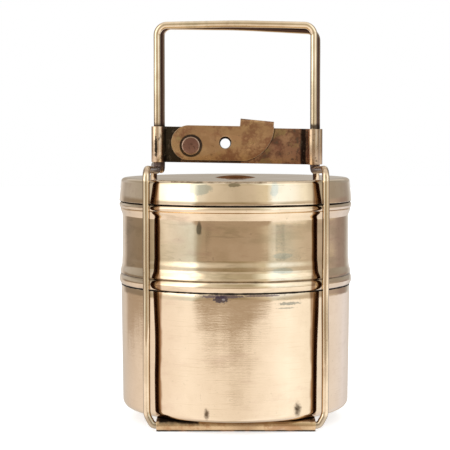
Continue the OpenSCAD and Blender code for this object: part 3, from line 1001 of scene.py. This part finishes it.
def rivet_profile():
    """A shank behind a nearly flat round head."""
    front, back = -rivet_box[0].y, -rivet_box[1].y
    shank_r = 2.4 * MM
    seat = -washer_box[0].y
    edge = 0.5 * MM
    outer = [(0, back), (shank_r, back), (shank_r, seat)]
    outer += [(head_r - 0.2 * MM, seat), (head_r, seat + 0.2 * MM)]
    outer += arc(head_r - edge, front - 0.75 * MM, edge, 0, 70, 6)
    outer += [(head_r * 0.7, front - 0.12 * MM), (head_r * 0.35, front - 0.02 * MM), (0, front)]
    return refine(outer, 0.6 * MM)


def peened(a, r, z):
    """The uneven edge left by a hammer."""
    return 0.12 * MM * noise.noise(Vector((math.cos(a) * 2.2, math.sin(a) * 2.2, z * 900)))


def washer_profile():
    """A flat ring with its outer edges eased."""
    front, back = -washer_box[0].y, -washer_box[1].y
    r = (washer_box[1].x - washer_box[0].x) / 2
    hole_r = 2.9 * MM
    lip = 0.12 * MM
    outer = arc(r - lip, back + lip, lip, -90, 0, 3) + arc(r - lip, front - lip, lip, 0, 90, 3)
    return outer + [(hole_r, front), (hole_r, back)]


finish_piece(lever_plate(), lever_metal, "lever", "lock_lever")
rivet = lathe("lever_rivet_head", rivet_profile(), segments=96, shape=peened)
turn_to_front(rivet, rivet_axis.x, rivet_axis.z)
finish_piece(rivet, rivet_metal, "front_bail", "lever_rivet")
washer_mid = (washer_box[0] + washer_box[1]) / 2
washer = lathe("rivet_washer_ring", washer_profile(), segments=96)
turn_to_front(washer, washer_mid.x, washer_mid.z)
finish_piece(washer, washer_metal, "front_bail", "rivet_washer")


# ---------------------------------------------------------------- floor, light and camera

def build_floor():
    """A white floor that polished metal doesn't mirror."""
    bm = bmesh.new()
    bmesh.ops.create_grid(bm, x_segments=2, y_segments=2, size=3.0)
    floor = new_object("floor", bm)
    floor.location.z = cad_low.z
    material = bpy.data.materials.new("floor_white")
    material.use_nodes = True
    n = Nodes(material.node_tree)
    out = n.add("ShaderNodeOutputMaterial")
    shader = n.add("ShaderNodeBsdfPrincipled", Roughness=0.9)
    shader.inputs["Base Color"].default_value = (0.9, 0.9, 0.9, 1)
    shader.inputs["Emission Color"].default_value = (1, 1, 1, 1)
    shader.inputs["Emission Strength"].default_value = 0.6
    n.link(shader.outputs[0], out.inputs[0])
    floor.data.materials.append(material)
    floor.visible_glossy = False


class Studio:
    """Surroundings painted by direction, in degrees; azimuth 0 faces the camera and grows to the right."""

    def __init__(self, n):
        direction = n.add("ShaderNodeTexCoord").outputs["Generated"]
        x, y, z = n.split(direction)
        around = n.math("MULTIPLY", n.math("ARCTAN2", x, n.math("MULTIPLY", y, -1.0)), 180 / math.pi)
        above = n.math("MULTIPLY", n.math("ARCSINE", z), 180 / math.pi)
        self.n = n
        self.azimuth = n.math("ADD", around, n.loose(direction, 7.0, 4.0, 0.6, 7.0))
        self.elevation = n.math("ADD", above, n.loose(direction, 11.0, 4.0, 0.6, 1.2))

    def ring(self, stops):
        """Colours by azimuth, from -180 to 180."""
        turn = self.n.math("ADD", self.n.math("MULTIPLY", self.azimuth, 1 / 360), 0.5)
        return self.n.ramp(turn, [(degrees / 360 + 0.5, colour) for degrees, colour in stops])

    def rise(self, under, over, low, high):
        """Changes from one colour to the other as the elevation goes from low to high."""
        return self.n.mix(self.n.span(self.elevation, low, high), under, over)

    def between(self, value, ends, soft):
        """1 between the two ends, 0 beyond them."""
        low, high = ends
        up = self.n.span(value, low - soft, low + soft)
        return self.n.math("MULTIPLY", up, self.n.span(value, high + soft, high - soft))

    def panel(self, under, colour, sides, heights, soft_sides, soft_heights, strength=1.0):
        """A soft rectangle between two azimuths and two elevations."""
        across = self.between(self.azimuth, sides, soft_sides)
        up = self.between(self.elevation, heights, soft_heights)
        amount = self.n.math("MULTIPLY", self.n.math("MULTIPLY", across, up), strength)
        return self.n.mix(amount, under, colour)

    def blot(self, under, colour, middle, half):
        """An oval round middle; both pairs are azimuth and elevation."""
        reach = []
        for value, centre, size in zip((self.azimuth, self.elevation), middle, half):
            reach.append(self.n.math("DIVIDE", self.n.math("SUBTRACT", value, centre), size))
        far = self.n.vector("LENGTH", self.n.join(*reach, 0.0))
        return self.n.mix(self.n.span(far, 1.06, 0.94), under, colour)


def studio_room(studio):
    """The room just above the table's far edge, which the upper container mirrors."""
    room = studio.ring([
        (-180, (0.85, 0.83, 0.81)), (-156, (0.74, 0.70, 0.67)), (-149, (0.55, 0.50, 0.47)),
        (-143, (0.31, 0.27, 0.24)), (-100, (0.32, 0.27, 0.22)), (-86, (0.62, 0.58, 0.5)),
        (-74, (0.98, 0.98, 0.98)), (-60, (0.92, 0.96, 1.0)), (-44, (0.88, 0.98, 1.04)),
        (-39, (0.50, 0.48, 0.42)), (-28, (0.48, 0.41, 0.33)), (-12, (0.33, 0.28, 0.185)),
        (6, (0.36, 0.305, 0.195)), (20, (0.52, 0.45, 0.36)), (30, (0.74, 0.70, 0.62)),
        (40, (0.84, 0.90, 0.94)), (52, (0.70, 0.72, 0.70)), (64, (0.70, 0.66, 0.60)),
        (80, (0.64, 0.58, 0.52)), (94, (0.56, 0.50, 0.46)), (112, (0.52, 0.46, 0.45)),
        (128, (0.38, 0.32, 0.32)), (142, (0.36, 0.31, 0.30)), (152, (0.5, 0.48, 0.47)),
        (164, (0.8, 0.8, 0.8)), (180, (0.85, 0.83, 0.81)),
    ])
    room = studio.panel(room, (0.80, 0.74, 0.62), (-36, 30), (-6.2, -4.75), 6.0, 0.3, 0.85)
    room = studio.panel(room, (0.85, 0.78, 0.62), (98, 122), (-5.3, -4.7), 8.0, 0.3, 0.6)
    room = studio.panel(room, (0.36, 0.42, 0.44), (42, 66), (-4.85, -4.6), 1.5, 0.08)
    room = studio.panel(room, (0.42, 0.47, 0.47), (42, 50), (-4.5, -3.9), 1.5, 0.08)
    room = studio.panel(room, (1.05, 1.02, 0.94), (38, 76), (-5.5, -4.95), 3.0, 0.1)
    return studio.blot(room, (0.07, 0.07, 0.045), (-27, -3.8), (3.4, 0.30))


def studio_boxes(studio):
    """Tall soft boxes to the left and right, which the clasps and the lid's shoulder mirror."""
    boxes = studio.ring([
        (-180, (0.40, 0.35, 0.28)), (-166, (0.48, 0.43, 0.37)), (-150, (0.60, 0.60, 0.62)),
        (-100, (0.44, 0.43, 0.43)), (-86, (0.9, 0.9, 0.88)), (-79, (1.9, 1.95, 2.0)),
        (-66, (2.4, 2.5, 2.6)), (-42, (2.3, 2.4, 2.5)), (-37, (1.0, 1.06, 1.1)),
        (-26, (0.84, 0.82, 0.78)), (0, (0.64, 0.60, 0.54)), (16, (0.72, 0.68, 0.62)),
        (31, (0.86, 0.84, 0.74)), (37, (1.3, 1.5, 1.75)), (56, (1.25, 1.4, 1.6)),
        (72, (1.1, 1.15, 1.15)), (86, (0.6, 0.57, 0.52)), (110, (0.42, 0.40, 0.39)),
        (146, (0.40, 0.40, 0.40)), (166, (0.52, 0.48, 0.44)), (180, (0.40, 0.35, 0.28)),
    ])
    return studio.panel(boxes, (0.75, 0.92, 1.0), (34, 50), (9.3, 12.0), 1.5, 0.1)


def studio_upper(studio):
    """The upper parts of the soft boxes and the walls beyond them."""
    return studio.ring([
        (-180, (0.9, 0.9, 0.9)), (-140, (0.46, 0.45, 0.44)), (-100, (0.36, 0.34, 0.32)),
        (-84, (1.4, 1.4, 1.4)), (-60, (2.4, 2.4, 2.4)), (-42, (2.2, 2.2, 2.2)),
        (-30, (0.9, 0.9, 0.86)), (-10, (0.56, 0.53, 0.44)), (16, (0.56, 0.53, 0.44)),
        (30, (1.1, 1.2, 1.2)), (40, (1.5, 1.7, 1.9)), (76, (1.3, 1.35, 1.4)),
        (96, (0.5, 0.48, 0.45)), (140, (0.36, 0.36, 0.36)), (180, (0.9, 0.9, 0.9)),
    ])


def studio_table(studio):
    """The pale table all round, which the lower container mirrors."""
    return studio.ring([
        (-180, (0.70, 0.66, 0.63)), (-158, (0.70, 0.66, 0.63)), (-130, (0.84, 0.79, 0.80)),
        (-80, (1.10, 1.06, 1.10)), (-50, (1.20, 1.19, 1.24)), (-20, (1.08, 1.05, 1.06)),
        (5, (1.06, 1.03, 1.04)), (30, (1.2, 1.20, 1.26)), (52, (1.32, 1.36, 1.46)),
        (78, (1.18, 1.20, 1.24)), (110, (0.96, 0.96, 1.06)), (140, (0.90, 0.92, 1.06)),
        (160, (0.74, 0.70, 0.68)), (180, (0.70, 0.66, 0.63)),
    ])


def studio_levels(studio):
    """The table, the room, the soft boxes and the ceiling, one above the other."""
    shade = (0.52, 0.44, 0.37)
    level = studio.rise(studio_room(studio), studio_boxes(studio), -2.2, 3.5)
    level = studio.rise(level, studio_upper(studio), 13.5, 18.0)
    level = studio.rise(level, studio_table(studio), -5.5, -6.2)
    level = studio.blot(level, shade, (-4, -6.2), (40.0, 3.0))
    level = studio.blot(level, shade, (2, -8.2), (15.0, 1.6))
    level = studio.panel(level, (0.52, 0.44, 0.38), (-142, -100), (-8.2, -5.6), 5.0, 0.25)
    return studio.rise(level, (0.95, 0.95, 0.97), 38.0, 60.0)


def build_world():
    """The studio lights the metal, while the camera sees plain white behind it."""
    world = bpy.data.worlds.new("studio")
    bpy.context.scene.world = world
    world.use_nodes = True
    n = Nodes(world.node_tree)
    out = n.add("ShaderNodeOutputWorld")
    light = n.add("ShaderNodeBackground", Strength=1.0)
    n.link(studio_levels(Studio(n)), light.inputs["Color"])
    plain = n.add("ShaderNodeBackground", Strength=1.0)
    plain.inputs["Color"].default_value = (1, 1, 1, 1)
    path = n.add("ShaderNodeLightPath")
    pick = n.add("ShaderNodeMixShader")
    n.link(path.outputs["Is Camera Ray"], pick.inputs[0])
    n.link(light.outputs[0], pick.inputs[1])
    n.link(plain.outputs[0], pick.inputs[2])
    n.link(pick.outputs[0], out.inputs[0])


def build_camera():
    """The photograph's view: just above the lid, looking slightly down."""
    distance = 0.92
    height = 0.167
    side = -0.0058
    pitch = math.radians(3.73)
    data = bpy.data.cameras.new("camera")
    data.sensor_width = 36
    data.lens = 132.4
    data.clip_start = 0.01
    data.clip_end = 20
    camera = bpy.data.objects.new("camera", data)
    camera.location = (side, -distance, height)
    camera.rotation_euler = (math.pi / 2 - pitch, 0, 0)
    bpy.context.scene.collection.objects.link(camera)
    bpy.context.scene.camera = camera


build_floor()
build_world()
build_camera()
bpy.context.scene.view_settings.view_transform = "Standard"
